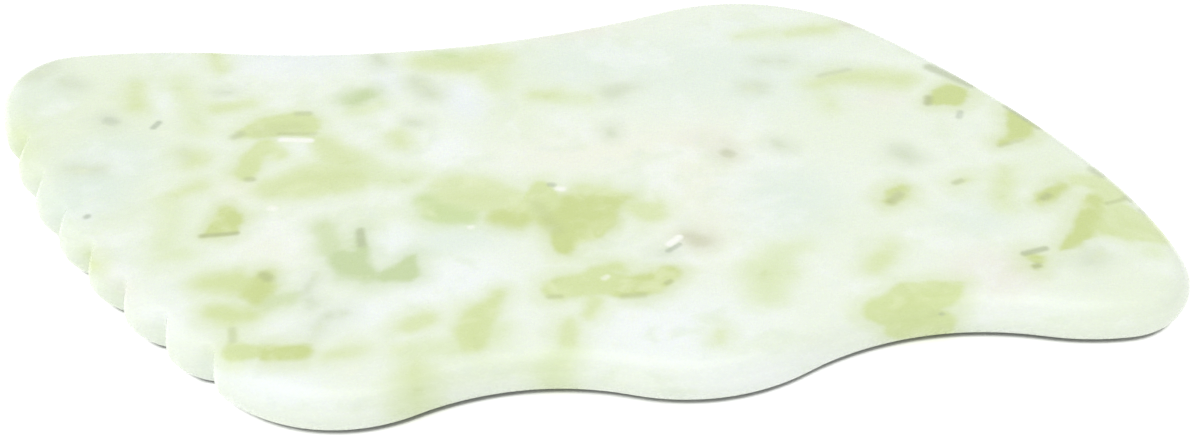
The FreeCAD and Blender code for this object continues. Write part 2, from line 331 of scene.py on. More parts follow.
minerals = {
    # colours as written, 0 to 255
    "tints": {
        "moss": (178, 187, 140),
        "olive": (205, 218, 148),
        "fern": (206, 224, 168),
        "lime": (214, 227, 169),
        "leaf": (219, 231, 182),
        "pale": (224, 236, 199),
        "jade": (200, 217, 168),
        "mint": (212, 226, 184),
        "sage": (214, 224, 200),
        "bark": (214, 216, 192),
        "cool": (222, 236, 226),
        "cream": (241, 244, 228),
        "rose": (236, 234, 222),
        "milk": (243, 250, 247),
        "frost": (236, 243, 243),
        "slate": (166, 178, 158),
        "umber": (184, 194, 160),
        # glint: white for the painted highlights on small pits
        "glint": (253, 254, 246),
    },
    # Each patch: its tint, how softly it ends in mm, and the discs that it runs through, x, y and radius in
    # mm, as they lie on the upper face. Between two discs it fills the band that touches both.
    "patches": [
        # by the heel
        ("leaf", 0.9, [(-41.3, 22.6, 0.4), (-41.3, 20.2, 0.9), (-41.1, 17.8, 0.6)]),
        ("lime", 0.8, [(-41.4, 20.4, 0.4), (-41.2, 18.6, 0.6)]),
        ("pale", 1.3, [(-37, 22.5, 0.7), (-35.8, 18, 0.9), (-34.8, 13, 0.8)]),
        ("leaf", 0.9, [(-33.2, 16.4, 1.0), (-31.6, 16.6, 0.9), (-29.8, 17, 0.4)]),
        ("leaf", 1.0, [(-33.3, 27.2, 0.5), (-32.9, 25, 0.4), (-32.6, 23.6, 0.3)]),
        ("sage", 0.8, [(-33.2, 19.3, 0.4), (-31.8, 19.3, 0.5)]),
        ("sage", 1.0, [(-44.3, 16.8, 0.3), (-43.4, 15.8, 0.4)]),
        ("sage", 1.4, [(-48.6, 24.5, 0.5), (-47.4, 23.2, 0.5)]),
        # painted shade: a faint grey along the back rim by the heel, where the rim turns away from the light
        ("sage", 1.4, [(-52, 25.8, 0.7), (-50.2, 27.2, 0.7)]),
        ("sage", 1.2, [(-47, 8.3, 0.3), (-44.8, 7.6, 0.5)]),
        ("pale", 1.6, [(-53, 15.5, 0.6), (-52.7, 12.5, 1.0)]),
        ("leaf", 1.2, [(-36.4, 9.2, 0.6), (-35.4, 7.8, 1.1)]),
        ("sage", 0.7, [(-36.4, 9.8, 0.3), (-36.3, 8.4, 0.4)]),
        ("leaf", 1.0, [(-35, 3.3, 0.6), (-37.4, 2, 0.7)]),
        ("pale", 1.4, [(-37.8, 1.6, 0.8), (-37.6, -3, 0.6), (-38.2, -6, 0.8)]),
        ("pale", 1.0, [(-38.4, -7.4, 0.7), (-36.8, -7.2, 0.9)]),
        # the bar, the hook below it and the broad patch beside it
        ("lime", 0.5, [(-30.6, 11.5, 0.7), (-28.4, 12.3, 1.8), (-25.4, 12.4, 2.1), (-24.3, 11.7, 1.5)]),
        ("lime", 0.6, [(-28.4, 9.4, 0.9), (-29.8, 7.2, 1.1), (-30.6, 4.6, 1.2)]),
        ("leaf", 0.8, [(-28.4, 9, 0.9), (-27, 7.2, 0.8)]),
        ("leaf", 1.0, [(-23, 9.2, 0.9), (-21.8, 6.4, 1.6), (-20.2, 4.6, 1.9)]),
        ("leaf", 1.0, [(-27.8, 1.8, 1.7), (-25, 2.4, 2.6), (-22, 2.6, 2.7), (-20, 2.6, 2.4)]),
        ("lime", 1.2, [(-25, 1.4, 1.0), (-22.6, 2.2, 1.5)]),
        ("pale", 1.0, [(-19.8, 4.4, 1.6), (-17.4, 1.6, 1.6), (-14.6, 1.2, 1.2)]),
        ("olive", 0.5, [(-32.4, -1.3, 0.8), (-32.4, -2.8, 1.5), (-33.2, -3.9, 1.3), (-34.5, -4.7, 0.4)]),
        ("olive", 0.5, [(-33.2, -3.9, 1.2), (-31.9, -4.4, 0.8)]),
        # between the comb and the middle
        ("lime", 1.1, [(-34.2, -11.9, 1.2), (-32, -12.3, 1.6), (-30.6, -13, 1.2)]),
        ("olive", 0.9, [(-29.4, -12, 1.1), (-30, -13.7, 1.8), (-29.9, -15.2, 1.1)]),
        ("lime", 0.9, [(-33.6, -16.2, 0.9), (-32.2, -16.9, 1.4), (-30.4, -17.2, 0.7)]),
        ("mint", 1.0, [(-29, -15.6, 1.0), (-27, -15.4, 0.8)]),
        ("leaf", 0.5, [(-32.3, -19, 0.3), (-32.2, -20.6, 0.4)]),
        ("lime", 0.5, [(-32, -22.1, 1.3), (-30.4, -22.2, 1.0)]),
        ("olive", 0.5, [(-29.2, -22.6, 1.2), (-26.5, -22.9, 1.0)]),
        ("sage", 0.8, [(-24, -18.5, 0.3), (-22.4, -18.3, 0.4)]),
        ("sage", 0.8, [(-24.8, -19.4, 0.3), (-25.1, -20.6, 0.3)]),
        ("leaf", 0.9, [(-24, -23.8, 0.5), (-21.8, -23.7, 0.5)]),
        ("mint", 1.0, [(-23.5, -5.6, 0.9), (-23.1, -8.6, 1.3)]),
        ("jade", 0.8, [(-22.4, -9.8, 1.2), (-21.3, -11.7, 1.7), (-19.8, -13.5, 1.0)]),
        ("jade", 0.6, [(-20.2, -6.6, 0.4), (-20.2, -9.4, 0.6), (-20.6, -11, 0.7)]),
        ("jade", 0.5, [(-18.6, -13.7, 0.9), (-16.6, -13.3, 1.3), (-15.7, -11.2, 0.5)]),
        ("sage", 0.6, [(-24.6, -12.4, 0.5), (-25.8, -15, 0.4), (-25.3, -16.8, 0.4)]),
        ("leaf", 0.8, [(-45.6, -6, 0.5), (-45, -7.6, 0.6)]),
        # along the front, comb lobe to middle lobe
        ("lime", 0.8, [(-8.6, -18, 0.6), (-10.5, -20.3, 1.5), (-11.5, -22.6, 1.8), (-11.8, -23.9, 1.6)]),
        ("pale", 1.0, [(-9.2, -22.6, 0.8), (-9.6, -24.2, 0.5)]),
        ("leaf", 0.8, [(-16.9, -21, 1.0), (-15.2, -20.4, 0.8)]),
        ("pale", 1.0, [(-17.2, -24.4, 1.2), (-13.6, -24.3, 1.1)]),
        ("leaf", 1.8, [(-16.6, -24.8, 0.6), (-17.2, -28, 1.4), (-17.6, -30.4, 1.0)]),
        ("pale", 1.8, [(-17.4, -30, 1.8), (-17.8, -34, 1.8), (-18, -37, 2.0)]),
        ("leaf", 0.7, [(-0.2, -20.3, 0.8), (-1.2, -22.2, 0.6)]),
        ("leaf", 0.8, [(-2.9, -22.8, 0.6), (-3.6, -25.6, 0.9)]),
        ("pale", 1.0, [(-4, -26.8, 1.0), (-5.4, -29.2, 1.7), (-5.8, -33, 1.6)]),
        ("lime", 0.6, [(-3.2, -18, 1.5), (-0.2, -17.6, 1.8), (2.4, -18.4, 1.7)]),
        ("olive", 0.6, [(2.4, -18.7, 1.6), (5.2, -18.7, 1.5), (7, -17.5, 1.1)]),
        ("lime", 0.7, [(0.4, -16.1, 0.9), (2.6, -15.9, 0.6)]),
        ("leaf", 0.8, [(9.9, -26.4, 0.4), (9.6, -27.5, 0.4)]),
        # the middle
        ("leaf", 1.0, [(-12.4, -0.4, 0.9), (-9.6, -0.4, 1.0), (-7, -2.2, 1.3)]),
        ("leaf", 0.8, [(-11, -2.6, 2.2), (-8, -3.4, 2.4), (-6.4, -3.6, 2.0)]),
        ("fern", 0.8, [(-13.5, -2.8, 1.2), (-12.3, -4.4, 2.1), (-10.2, -5.6, 1.5)]),
        ("olive", 0.9, [(-7.2, -6.2, 1.4), (-5.2, -6.4, 2.0)]),
        ("lime", 0.5, [(-2.6, -2.2, 0.9), (-2.8, -5.4, 2.5)]),
        ("olive", 0.9, [(-2, -6.6, 2.3), (0, -6.8, 3.1), (3, -5.9, 1.9), (5.2, -5.4, 0.6)]),
        ("olive", 0.5, [(1.2, -7.6, 2.8), (0.5, -9.2, 2.2), (-1.2, -10.4, 1.8), (-1.8, -12.5, 0.8)]),
        ("leaf", 0.8, [(1.3, -3.2, 0.7), (4.4, -4.6, 0.5)]),
        ("leaf", 0.8, [(5.4, -7, 0.9), (7, -8, 1.5), (8.3, -6.9, 0.5)]),
        ("bark", 0.8, [(10, -12.4, 0.8), (10.8, -13.3, 0.9)]),
        ("sage", 0.8, [(7.2, -14.4, 0.3), (7.8, -14, 0.3)]),
        # towards the back
        ("jade", 0.9, [(-19.4, 15.4, 1.0), (-18, 16.4, 1.2)]),
        ("pale", 1.0, [(-19.4, 13.8, 0.8), (-16.6, 14.8, 0.5)]),
        ("leaf", 1.3, [(-11.2, 21.6, 1.4), (-8, 20.9, 1.7), (-5, 20.8, 2.1), (-3.4, 21.2, 1.0)]),
        ("pale", 1.1, [(-5, 19.4, 1.7), (-4.4, 16.2, 1.1)]),
        ("fern", 0.9, [(-9.6, 22.6, 0.9), (-8.2, 22.2, 0.8)]),
        ("sage", 1.2, [(-12.6, 18.2, 0.9), (-11.3, 15.4, 0.7)]),
        ("sage", 0.8, [(-16.4, 23.6, 0.4), (-16, 22.4, 0.4)]),
        ("leaf", 1.3, [(-15.6, 8.8, 0.6), (-15, 7.2, 0.7)]),
        ("sage", 0.8, [(-13.9, 10.9, 0.4), (-13.4, 10.6, 0.4)]),
        ("leaf", 1.2, [(-1, 13.7, 0.5), (1, 13.1, 1.0)]),
        ("pale", 1.4, [(1.4, 12.7, 0.8), (4.4, 12.1, 0.6)]),
        ("sage", 1.2, [(6.9, 12.6, 0.9), (8.4, 13.6, 0.7)]),
        ("sage", 0.7, [(5.6, 5.9, 0.5), (5.6, 5.2, 0.4)]),
        ("bark", 0.7, [(16.3, 0.4, 0.6), (16.3, 0, 0.5)]),
        ("sage", 0.7, [(21.6, 0.9, 0.7), (21.8, 0.5, 0.5)]),
        # by the hip and the slanted end
        ("leaf", 1.1, [(27.6, 21.1, 0.6), (30.4, 21.3, 0.9), (32.8, 21.3, 0.6)]),
        ("pale", 1.2, [(22.2, 21.3, 0.5), (26, 21.4, 0.7)]),
        ("bark", 0.6, [(33.8, 21.8, 0.3), (34.3, 21.5, 0.4)]),
        ("sage", 0.6, [(23, 16, 0.2), (25.8, 15.8, 0.3)]),
        ("sage", 1.4, [(20.8, 11.4, 0.4), (22, 11.3, 0.5)]),
        ("leaf", 1.4, [(28.2, 11, 1.0), (31, 11.9, 1.4), (34, 11.2, 1.5), (37, 10.2, 1.3)]),
        ("sage", 0.9, [(29, 12.4, 0.3), (32.2, 13, 0.3)]),
        ("pale", 1.2, [(28.3, 8.2, 0.7), (28.4, 6.2, 0.4)]),
        ("olive", 0.5, [(39.2, 5.8, 0.9), (40.9, 6.4, 1.8), (41.7, 6.9, 1.6)]),
        ("olive", 0.6, [
            (46.3, 2, 0.9), (46.7, 0.5, 1.5), (46.1, -0.7, 1.3), (44.9, -1.7, 0.8), (43.6, -2.6, 0.4),
        ]),
        ("olive", 0.6, [(47.2, 1.2, 0.9), (48, -0.3, 0.5)]),
        # towards the horn
        ("olive", 0.6, [(29.9, -10, 0.6), (30.8, -9.1, 1.1), (31.6, -8.3, 0.7)]),
        ("leaf", 0.6, [(36.9, -8.4, 0.4), (38.2, -8, 0.4)]),
        ("leaf", 1.2, [(42.4, -7, 0.3), (41.6, -9, 0.8), (40.9, -11, 0.8)]),
        ("pale", 1.2, [(41, -10.6, 1.0), (40.4, -12.6, 0.9)]),
        ("sage", 1.3, [(33.2, -2.6, 0.9), (33.8, -3.4, 0.7)]),
        ("olive", 0.6, [(43.6, -12.8, 0.4), (44.8, -11.8, 0.9), (46.2, -11, 0.7), (47.3, -10.2, 0.3)]),
        ("leaf", 0.6, [(48.6, -9.7, 0.7), (50.6, -10.4, 1.3), (51, -13, 1.6)]),
        ("leaf", 0.5, [(50.6, -15, 1.7), (50.8, -17.2, 2.5), (53.6, -19.2, 1.7)]),
        ("lime", 0.6, [(48.4, -17.2, 1.2), (50.4, -18.6, 1.3)]),
        ("olive", 0.5, [(49.6, -13, 0.9), (48.2, -15.2, 1.3), (46.2, -17.8, 1.1), (43.6, -19.9, 0.4)]),
        ("olive", 0.5, [(40.2, -20.4, 0.7), (40.9, -21, 0.8), (40.2, -22.2, 0.5)]),
        ("sage", 1.2, [(45.4, -22, 0.5), (46.6, -21.2, 0.6)]),
        ("pale", 1.0, [(51.2, -22, 0.6), (51.8, -21.6, 0.5)]),
        ("leaf", 0.9, [(27.8, -17.2, 0.6), (26.6, -18.7, 1.0), (25.6, -19.8, 0.7)]),
        ("pale", 1.2, [(15.2, -21.6, 1.5), (16, -19, 2.3), (17.8, -16.3, 1.1), (19.8, -15.5, 0.4)]),
        ("leaf", 1.8, [(15.2, -20.4, 0.4), (16, -18.6, 0.9)]),
        ("lime", 0.5, [(25.2, -26, 2.2), (27.8, -25.2, 2.8), (30.6, -24.5, 2.0), (32.4, -23.5, 0.6)]),
        ("lime", 0.5, [(26.8, -28.2, 2.4), (29.3, -28.4, 1.9), (28.8, -32, 2.0)]),
    ],
    # broad changes of the stone between the patches: tint, share, x, y, half length, half width in mm, turn
    "clouds": [
        ("pale", 0.45, -45, 17, 13, 12, 0),
        ("pale", 0.3, -38, -1, 8, 9, 0),
        ("cool", 0.6, -43.5, 9, 5, 5, 0),
        ("cool", 0.6, -46, 3, 5, 4, 0),
        ("cool", 0.4, -51, 22, 4, 4, 0),
        ("pale", 0.35, -52, 14, 2.5, 8, 0),
        ("frost", 0.8, -25, 24, 7, 3, -8),
        ("milk", 0.8, -38.5, 19, 1.4, 3.5, 15),
        ("milk", 0.8, -25, 8, 1.4, 1.6, 0),
        ("frost", 0.8, -15.6, 19, 1.6, 4, 0),
        ("frost", 0.9, -8, 14, 2.4, 4, 0),
        ("milk", 0.7, -11, 6, 2.4, 3, 0),
        ("cool", 0.5, 5, 19, 8, 5, 0),
        ("pale", 0.3, -2, 17, 4, 5, 0),
        ("pale", 0.35, -3.5, 9, 3, 4, 0),
        ("cool", 0.5, 20, 15, 12, 9, 0),
        ("cream", 0.9, 4, 3, 10, 4, 0),
        ("cream", 0.9, 13, -5, 5, 12, -15),
        ("cool", 0.5, -12, -9.5, 6, 2.5, 0),
        ("milk", 0.8, -17.5, -8.5, 2, 2.5, 0),
        ("milk", 0.9, -12, -15, 5, 3, 20),
        ("milk", 0.8, -21, -18.5, 4, 2, 0),
        ("milk", 0.9, -29, -27, 6, 3, -35),
        ("milk", 1.0, 6, -25.5, 8, 5, 0),
        ("milk", 0.6, 12, -33, 9, 3, 5),
        ("milk", 0.6, 40, -28, 5, 2.5, 0),
        ("cool", 0.6, 20, -8, 6, 6, 0),
        ("cool", 0.5, 37, -14, 4, 3, 0),
        ("pale", 0.25, 46, -27, 8, 6, 0),
        ("rose", 0.8, 36, -22.5, 4, 4, 10),
        ("rose", 0.5, 34, 7, 3, 2, 0),
        # partly painted shade: rose-grey over the comb's teeth, the stone's tint together with shade on the
        # teeth's lower edges
        ("rose", 0.6, -42.6, -10, 1.5, 5, 20),
        ("rose", 0.5, 14.5, 3, 3, 2, 0),
        ("rose", 0.5, 6, 25, 6, 1.5, 5),
        ("cream", 0.7, -31.5, 2, 3, 2.5, 0),
        ("cream", 0.7, -28, -7, 4, 4, 0),
        ("pale", 0.5, -18.5, -3.6, 3, 2, 0),
        ("pale", 0.4, -11, -28, 6, 2, 0),
        ("milk", 0.3, -38.5, -14.5, 3, 4, 0),
        ("milk", 0.5, -42, -8, 2, 3, 0),
        ("milk", 0.4, -27, -20, 4, 3, 0),
        ("milk", 0.4, -8.5, -21.5, 2, 2.5, 0),
        ("milk", 0.4, 24, 22.5, 8, 3.5, 0),
        ("milk", 0.5, -8, -17, 4, 2, 0),
        ("milk", 0.4, 45, -3.5, 2.5, 2, 0),
        ("pale", 0.2, 30, 3, 9, 6, 0),
        ("pale", 0.4, 46, -6, 4, 4, 0),
        ("pale", 0.15, 27, -14, 8, 5, 0),
    ],
    # Small marks: tint, from x, y to x, y, radius and softness in mm, share. The glints are painted
    # highlights, and one dark crescent is painted shade, at small pits.
    "marks": [
        ("slate", (-39.4, 14.1), (-38.9, 14.9), 0.1, 0.5, 0.6),
        ("slate", (-45.5, 0), (-45.4, 0.1), 0.1, 0.45, 0.6),
        ("slate", (-43.9, 16.1), (-43.4, 15.8), 0.2, 0.8, 0.25),
        ("olive", (-2, -8.4), (2.4, -8.2), 0.8, 2.4, 0.5),
        ("moss", (-28.6, 11.6), (-25.6, 11.6), 0.4, 1.6, 0.15),
        ("umber", (-25, 14.2), (-23.9, 14.1), 0.1, 0.6, 0.45),
        ("umber", (-31.4, 11.1), (-30.8, 11.5), 0.1, 0.8, 0.5),
        ("moss", (-27, 10.9), (-23.6, 10.3), 0.05, 0.5, 0.35),
        ("moss", (-34.8, -4.8), (-31.6, -4.9), 0.05, 0.5, 0.7),
        ("moss", (-30.3, 3.6), (-29.9, 3.5), 0.1, 0.6, 0.5),
        ("moss", (-29.3, -11.6), (-28.9, -12.2), 0.1, 0.8, 0.55),
        ("umber", (-32.3, -18.9), (-32.3, -20.4), 0.05, 0.6, 0.35),
        ("umber", (-20.2, -6.4), (-20.2, -8.6), 0.1, 0.6, 0.7),
        ("moss", (38.4, 5.5), (38.8, 6.5), 0.1, 0.7, 0.7),
        ("umber", (40.6, 12), (43.8, 8.2), 0.2, 0.9, 0.7),
        ("umber", (46.2, 3.6), (47.4, 1.2), 0.1, 0.6, 0.7),
        ("umber", (47.4, 1.2), (48.2, -0.6), 0.1, 0.6, 0.6),
        ("moss", (43.2, -3), (45.6, -2.4), 0.05, 0.5, 0.3),
        ("moss", (30, -10.2), (31.1, -9.2), 0.1, 0.8, 0.55),
        ("moss", (44.5, -12.1), (45.1, -11.7), 0.1, 0.6, 0.6),
        ("umber", (39.8, -20), (42, -19.6), 0.1, 0.5, 0.8),
        ("moss", (40.2, -22), (40.5, -21.9), 0.1, 0.5, 0.7),
        ("umber", (36.9, -8.3), (37.6, -8), 0.1, 0.5, 0.5),
        ("umber", (50.8, -8.4), (51.4, -9.4), 0.1, 0.8, 0.5),
        ("umber", (52.4, -13.2), (52.7, -13.8), 0.1, 0.5, 0.5),
        ("umber", (53.1, -15.5), (53.3, -16), 0.1, 0.5, 0.5),
        ("moss", (50.2, -13.9), (52, -13.5), 0.05, 0.4, 0.4),
        ("slate", (30, -27.3), (30.1, -27.4), 0.05, 0.4, 0.4),
        ("slate", (-1.6, -2.1), (-1.4, -2.2), 0.1, 0.5, 0.5),
        ("moss", (-4.2, -19), (-3.2, -19.1), 0.05, 0.5, 0.4),
        ("moss", (2.4, -20), (4.2, -20.1), 0.05, 0.6, 0.4),
        ("moss", (6.6, -18.8), (6.9, -18.6), 0.1, 0.4, 0.5),
        ("moss", (-3.4, -5), (-2, -9.4), 0.1, 1.2, 0.2),
        ("umber", (28.8, 12.3), (32, 13), 0.05, 0.6, 0.3),
        # painted shade: the dark crescent on the shaded side of a small pit, under its painted highlight
        ("slate", (7.6, -14.2), (8.8, -13.4), 0.1, 0.35, 0.5),
        ("umber", (16.2, 0.3), (16.6, 0.1), 0.2, 0.8, 0.3),
        ("slate", (40.8, 2.6), (41.2, 3.4), 0.1, 0.5, 0.45),
        # painted highlights: white glints where small pits and a fissure catch the light
        ("glint", (-26.8, 9.8), (-24, 9.2), 0.15, 0.4, 0.8),
        ("glint", (-0.9, -2.9), (-0.6, -3), 0.1, 0.5, 0.8),
        ("glint", (7.9, -13.2), (9, -12.3), 0.15, 0.4, 0.9),
        ("glint", (1.1, -17.2), (1.4, -17), 0.1, 0.4, 0.5),
        ("glint", (-10, -7.6), (-9.9, -7.6), 0.1, 0.4, 0.6),
        ("glint", (-28.3, -1.5), (-28, -1.6), 0.15, 0.5, 0.6),
    ],
    # mm past the edge of a patch where its tint still shows, how much, and how much more raggedly it ends
    "halo": {"reach": 2.6, "share": 0.42, "swing": 1.6},
    "edge": 0.9,  # softnesses to either side of a patch's edge over which it comes in
    "ragged": {"scale": 0.36, "swing": 0.28},  # per mm, and mm that an edge wanders
}


def linearColour(red, green, blue):
    # a colour written from 0 to 255, turned into the linear values that a shader takes
    value = np.array([red, green, blue]) / 255
    return (*np.where(value <= 0.04045, value / 12.92, ((value + 0.055) / 1.055) ** 2.4), 1.0)


def veinShift():
    # How far a vein moves along X and Y for each mm up through the board. The veins are set to run along
    # the camera's line of sight. That is a choice, and the slant stays fixed in the stone.
    across = viewDirection()
    return across[:2] / across[2]


def ontoUpperFace(points):
    # a vein runs through the stone on a slant, so a point belongs to the place where its vein meets the
    # upper face: the point plus its depth below that face, times the slant
    depth = boardHigh[2] - points[:, 2:]
    return points[:, :2] + depth * veinShift()


def depthInPatch(places, discs):
    # how far each place lies inside a patch: on each run between two discs, the radius at the foot of the
    # place on the run less its distance from there; the greatest of the runs, negative outside
    depth = np.full(len(places), -np.inf)
    for (x0, y0, r0), (x1, y1, r1) in zip(discs, discs[1:]):
        start, run = np.array([x0, y0]), np.array([x1 - x0, y1 - y0])
        foot = np.clip((places - start) @ run / (run @ run), 0, 1)
        away = np.linalg.norm(places - start - foot[:, None] * run, axis=1)
        depth = np.maximum(depth, r0 + (r1 - r0) * foot - away)
    return depth


def paintPatches(mesh, points):
    # Attributes hold the patches: the depth in mm inside the nearest one, measured in its own softness, the
    # inverse of that softness, the depth in mm of the nearest edge of all, and a tint. The tint is the mean
    # of all of them, weighed by a power of e of their depths, so that two patches that meet run together.
    # The ground is a row of clouds, each a bell curve of its tint laid over the ones before it.
    places = ontoUpperFace(points)
    tints = {name: np.array(linearColour(*tint)) for name, tint in minerals["tints"].items()}
    names = [patch[0] for patch in minerals["patches"]]
    softnesses = [patch[1] for patch in minerals["patches"]]
    depths = np.array([depthInPatch(places, discs) for name, softness, discs in minerals["patches"]])
    shares = depths / np.array(softnesses)[:, None]
    nearest = shares.argmax(axis=0)
    keen = 1 / np.array(softnesses)[nearest]
    weights = np.exp(2.2 * (np.minimum(shares, 3) - shares.max(axis=0)))
    tint = weights.T @ np.array([tints[name] for name in names]) / weights.sum(axis=0)[:, None]
    ground = np.tile(np.array(linearColour(*stoneFinish["ground"])), (len(places), 1))
    for name, share, x, y, length, width, turn in minerals["clouds"]:
        angle = math.radians(turn)
        offset = places - np.array([x, y])
        along = (offset[:, 0] * math.cos(angle) + offset[:, 1] * math.sin(angle)) / length
        across = (offset[:, 1] * math.cos(angle) - offset[:, 0] * math.sin(angle)) / width
        mix = (share * np.exp(-(along**2 + across**2) ** 1.5))[:, None]
        ground = ground * (1 - mix) + tints[name] * mix
    values = {
        "patchDepth": np.maximum(shares.max(axis=0), -20) / keen,
        "patchKeenness": keen,
        "edgeDepth": np.maximum(depths.max(axis=0), -20),
    }
    for name, value in values.items():
        mesh.attributes.new(name, "FLOAT", "POINT").data.foreach_set("value", value)
    for name, value in (("patchTint", tint), ("groundTint", ground)):
        mesh.attributes.new(name, "FLOAT_COLOR", "POINT").data.foreach_set("color", value.ravel())


# ---- the polished stone

stoneFinish = {
    "ground": (237, 245, 230),
    "core": (200, 214, 136),  # deep inside a patch
    "coreDepths": (0.6, 3.0),  # mm inside a patch between which that tint comes in
    "coreShare": 0.3,
    "roughness": 0.27,
    "roughnessSwing": 0.05,
    "ior": 1.54,
    "subsurface": 0.2,
    "subsurfaceDepth": 1.2,  # mm
    "subsurfaceColours": (1.0, 1.1, 0.8),  # share of that depth that red, green and blue reach
    "polishBump": 0.05,
    "polishDepth": 0.2,  # mm
    # tint, scale per mm, the levels of the noise between which it comes in, share
    "groundMottles": [
        ((245, 251, 247), 0.16, 0.50, 0.68, 0.5),
        ((226, 237, 212), 0.22, 0.52, 0.72, 0.5),
        ((228, 238, 230), 0.45, 0.55, 0.72, 0.35),
        ((242, 247, 226), 0.6, 0.55, 0.75, 0.4),
    ],
    "patchMottles": [
        ((230, 239, 196), 0.3, 0.50, 0.72, 0.6),
        ((204, 217, 158), 0.5, 0.55, 0.75, 0.35),
    ],
}


def addNode(tree, kind, sockets=(), **settings):
    # a shader node with its settings; each socket is given a value, or is linked to another node's output
    node = tree.nodes.new("ShaderNode" + kind)
    for name, value in settings.items():
        setattr(node, name, value)
    for name, value in dict(sockets).items():
        if isinstance(value, bpy.types.NodeSocket):
            tree.links.new(value, node.inputs[name])
        else:
            node.inputs[name].default_value = value
    return node


def newMaterial(name):
    material = bpy.data.materials.new(name)
    material.use_nodes = True
    material.node_tree.nodes.clear()
    return material, material.node_tree


def newGroup(name, inputs, outputs):
    # an empty node group with named sockets, given as name and kind of value
    group = bpy.data.node_groups.new(name, "ShaderNodeTree")
    for label, kind in inputs:
        group.interface.new_socket(label, in_out="INPUT", socket_type="NodeSocket" + kind)
    for label, kind in outputs:
        group.interface.new_socket(label, in_out="OUTPUT", socket_type="NodeSocket" + kind)
    return group, group.nodes.new("NodeGroupInput").outputs, group.nodes.new("NodeGroupOutput").inputs


def placeGroup(tree, group, **sockets):
    # a node of this group in a tree, with each named socket given a value or linked
    node = tree.nodes.new("ShaderNodeGroup")
    node.node_tree = group
    for name, value in sockets.items():
        if isinstance(value, bpy.types.NodeSocket):
            tree.links.new(value, node.inputs[name])
        else:
            node.inputs[name].default_value = value
    return node


def mottleGroup():
    # lays a tint over a colour where soft noise of a given size rises from one level to another
    group, given, result = newGroup(
        "mottle",
        [("Colour", "Color"), ("Tint", "Color"), ("Place", "Vector"), ("Scale", "Float"),
         ("From", "Float"), ("To", "Float"), ("Share", "Float")],
        [("Colour", "Color")],
    )
    noise = addNode(group, "TexNoise", {
        "Vector": given["Place"], "Scale": given["Scale"],
        "Detail": 4.0, "Roughness": 0.55, "Distortion": 0.3,
    })
    level = addNode(group, "MapRange", {
        "Value": noise.outputs[0], "To Max": given["Share"],
        "From Min": given["From"], "From Max": given["To"],
    }, interpolation_type="SMOOTHSTEP")
    colours = {0: level.outputs[0], 6: given["Colour"], 7: given["Tint"]}
    mixed = addNode(group, "Mix", colours, data_type="RGBA")
    group.links.new(mixed.outputs[2], result["Colour"])
    return group


def markGroup():
    # lays a small mark of a tint over a colour: its share is whole within the radius of the line from start
    # to end, and falls off over the softness
    group, given, result = newGroup(
        "mark",
        [("Colour", "Color"), ("Tint", "Color"), ("Place", "Vector"), ("Start", "Vector"), ("Run", "Vector"),
         ("Radius", "Float"), ("Reach", "Float"), ("Share", "Float")],
        [("Colour", "Color")],
    )
    ends = {0: given["Place"], 1: given["Start"]}
    away = addNode(group, "VectorMath", ends, operation="SUBTRACT").outputs[0]
    run = given["Run"]
    along = addNode(group, "VectorMath", {0: away, 1: run}, operation="DOT_PRODUCT").outputs["Value"]
    whole = addNode(group, "VectorMath", {0: run, 1: run}, operation="DOT_PRODUCT").outputs["Value"]
    part = addNode(group, "Math", {0: along, 1: whole}, operation="DIVIDE", use_clamp=True).outputs[0]
    foot = addNode(group, "VectorMath", {0: run, "Scale": part}, operation="SCALE").outputs[0]
    gap = addNode(group, "VectorMath", {0: away, 1: foot}, operation="DISTANCE").outputs["Value"]
    level = addNode(group, "MapRange", {
        "Value": gap, "From Min": given["Reach"], "From Max": given["Radius"], "To Max": given["Share"],
    }, interpolation_type="SMOOTHSTEP")
    colours = {0: level.outputs[0], 6: given["Colour"], 7: given["Tint"]}
    mixed = addNode(group, "Mix", colours, data_type="RGBA")
    group.links.new(mixed.outputs[2], result["Colour"])
    return group


def veinPlace(tree):
    # Where a point's vein meets the upper face, in mm: the point plus its depth below that face times the
    # slant. A little of the height is kept, so that the rim isn't plain streaks.
    point = addNode(tree, "VectorMath", {0: addNode(tree, "TexCoord").outputs["Object"], "Scale": 1 / mm},
                    operation="SCALE").outputs[0]
    height = addNode(tree, "SeparateXYZ", {0: point}).outputs["Z"]
    depth = addNode(tree, "Math", {0: boardHigh[2], 1: height}, operation="SUBTRACT").outputs[0]
    shift = (*veinShift(), 0)
    slant = addNode(tree, "VectorMath", {0: shift, "Scale": depth}, operation="SCALE").outputs[0]
    moved = addNode(tree, "VectorMath", {0: point, 1: slant}, operation="ADD").outputs[0]
    flat = addNode(tree, "VectorMath", {0: moved, 1: (1, 1, 0)}, operation="MULTIPLY").outputs[0]
    return flat, addNode(tree, "VectorMath", {0: moved, 1: (1, 1, 0.4)}, operation="MULTIPLY").outputs[0]


def rise(tree, value, low, high, top=1.0):
    # a smooth step from nothing at low to top at high
    return addNode(tree, "MapRange", {
        "Value": value, "From Min": low, "From Max": high, "To Max": top,
    }, interpolation_type="SMOOTHSTEP").outputs[0]


